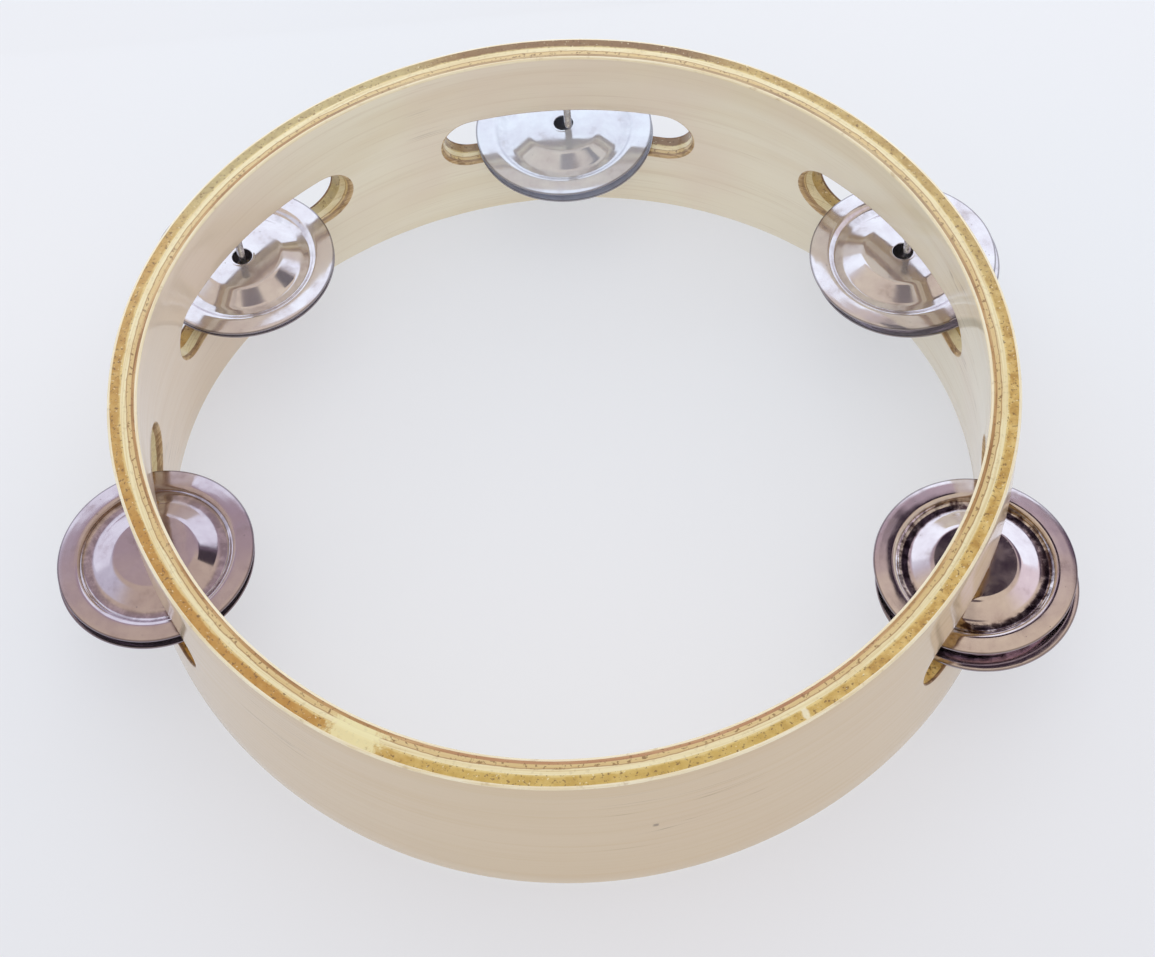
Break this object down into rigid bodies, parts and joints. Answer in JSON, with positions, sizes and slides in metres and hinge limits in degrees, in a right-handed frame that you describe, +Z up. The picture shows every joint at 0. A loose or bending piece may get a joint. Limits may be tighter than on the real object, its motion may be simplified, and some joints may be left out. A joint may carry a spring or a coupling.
{
  "type": "headless tambourine",
  "caption": "Headless wooden tambourine: a bent plywood hoop with slots, each crossed by a pin that carries a pair of loose pressed-steel jingles.",
  "frame": {"origin": "middle of the footprint, jingles included, on the surface under the hoop's lower edge", "axes": "+Z up, square to the hoop's plane; -Y towards the plain grip stretch; +X to the right seen from the grip side"},
  "size_m": [0.231, 0.2236, 0.053],
  "materials": {
    "face_veneer": "pale birch face veneer under clear gloss lacquer",
    "golden_core": "golden-brown end grain of the outer core ply, lacquered",
    "pale_core": "pale yellow long grain of the middle core ply, lacquered",
    "brown_crossband": "thin brown crossband, lacquered",
    "pin_steel": "bright drawn steel wire",
    "jingle_steel": "bright nickel-plated pressed sheet, lightly scratched and tarnished"
  },
  "bodies": {
    "hoop": {"ply_outer_veneer": "face_veneer", "ply_outer_core": "golden_core", "ply_middle_core": "pale_core", "ply_inner_crossband": "brown_crossband", "ply_inner_veneer": "face_veneer", "pin_right_front": "pin_steel", "pin_right_back": "pin_steel", "pin_back": "pin_steel", "pin_left_back": "pin_steel", "pin_left_front": "pin_steel"},
    "jingle_right_front_lower": {"jingle_right_front_lower": "jingle_steel"},
    "jingle_right_front_upper": {"jingle_right_front_upper": "jingle_steel"},
    "jingle_right_back_lower": {"jingle_right_back_lower": "jingle_steel"},
    "jingle_right_back_upper": {"jingle_right_back_upper": "jingle_steel"},
    "jingle_back_lower": {"jingle_back_lower": "jingle_steel"},
    "jingle_back_upper": {"jingle_back_upper": "jingle_steel"},
    "jingle_left_back_lower": {"jingle_left_back_lower": "jingle_steel"},
    "jingle_left_back_upper": {"jingle_left_back_upper": "jingle_steel"},
    "jingle_left_front_lower": {"jingle_left_front_lower": "jingle_steel"},
    "jingle_left_front_upper": {"jingle_left_front_upper": "jingle_steel"}
  },
  "joints": [
    {"name": "right_front_lower_spin", "type": "hinge", "parent": "hoop", "child": "jingle_right_front_lower", "pos_m": [0.09277, -0.0538, 0.02078], "axis": [0.0236, -0.0114, 0.9997], "continuous": true},
    {"name": "right_front_upper_slide", "type": "slide", "parent": "hoop", "child": "jingle_right_front_upper", "axis": [0, 0, 1], "range_m": [0, 0.0084]},
    {"name": "right_back_lower_spin", "type": "hinge", "parent": "hoop", "child": "jingle_right_back_lower", "pos_m": [0.09039, 0.03783, 0.0207], "axis": [-0.0153, -0.0084, 0.9998], "continuous": true},
    {"name": "right_back_upper_slide", "type": "slide", "parent": "hoop", "child": "jingle_right_back_upper", "axis": [0, 0, 1], "range_m": [0, 0.0086]},
    {"name": "back_lower_spin", "type": "hinge", "parent": "hoop", "child": "jingle_back_lower", "pos_m": [0.00909, 0.08884, 0.02053], "axis": [0, 0, 1], "continuous": true},
    {"name": "back_upper_slide", "type": "slide", "parent": "hoop", "child": "jingle_back_upper", "axis": [0, 0, 1], "range_m": [0, 0.0088]},
    {"name": "left_back_lower_spin", "type": "hinge", "parent": "hoop", "child": "jingle_left_back_lower", "pos_m": [-0.07396, 0.05393, 0.0207], "axis": [0.0135, -0.011, 0.9998], "continuous": true},
    {"name": "left_back_upper_slide", "type": "slide", "parent": "hoop", "child": "jingle_left_back_upper", "axis": [0, 0, 1], "range_m": [0, 0.0086]},
    {"name": "left_front_lower_spin", "type": "hinge", "parent": "hoop", "child": "jingle_left_front_lower", "pos_m": [-0.09272, -0.03157, 0.02078], "axis": [-0.0255, -0.0058, 0.9997], "continuous": true},
    {"name": "left_front_upper_slide", "type": "slide", "parent": "hoop", "child": "jingle_left_front_upper", "axis": [0, 0, 1], "range_m": [0, 0.0084]}
  ]
}
